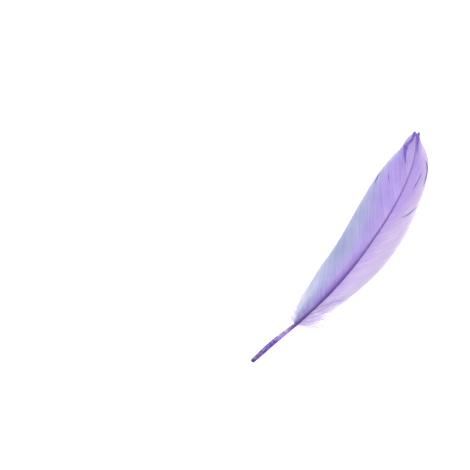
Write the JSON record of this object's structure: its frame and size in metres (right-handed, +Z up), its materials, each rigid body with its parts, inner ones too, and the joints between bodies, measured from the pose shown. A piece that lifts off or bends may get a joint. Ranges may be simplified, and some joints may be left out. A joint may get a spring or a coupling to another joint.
{
  "type": "goose feather",
  "caption": "Dyed violet goose feather with a bare quill, a gently arched shaft, two unequal vanes of locks and downy tufts at their base, lying convex side up.",
  "frame": {"origin": "middle of the underside of the feather's box, on the surface it lies on", "axes": "+X along the feather from the quill's end to the tip, +Y towards the broader vane, +Z up"},
  "size_m": [0.1762, 0.0374, 0.0082],
  "materials": {
    "vane": "soft matte dyed barbs, paler at the margins",
    "quill": "smooth satin dyed keratin"
  },
  "bodies": {
    "root": {"feather": "vane"}
  },
  "joints": []
}
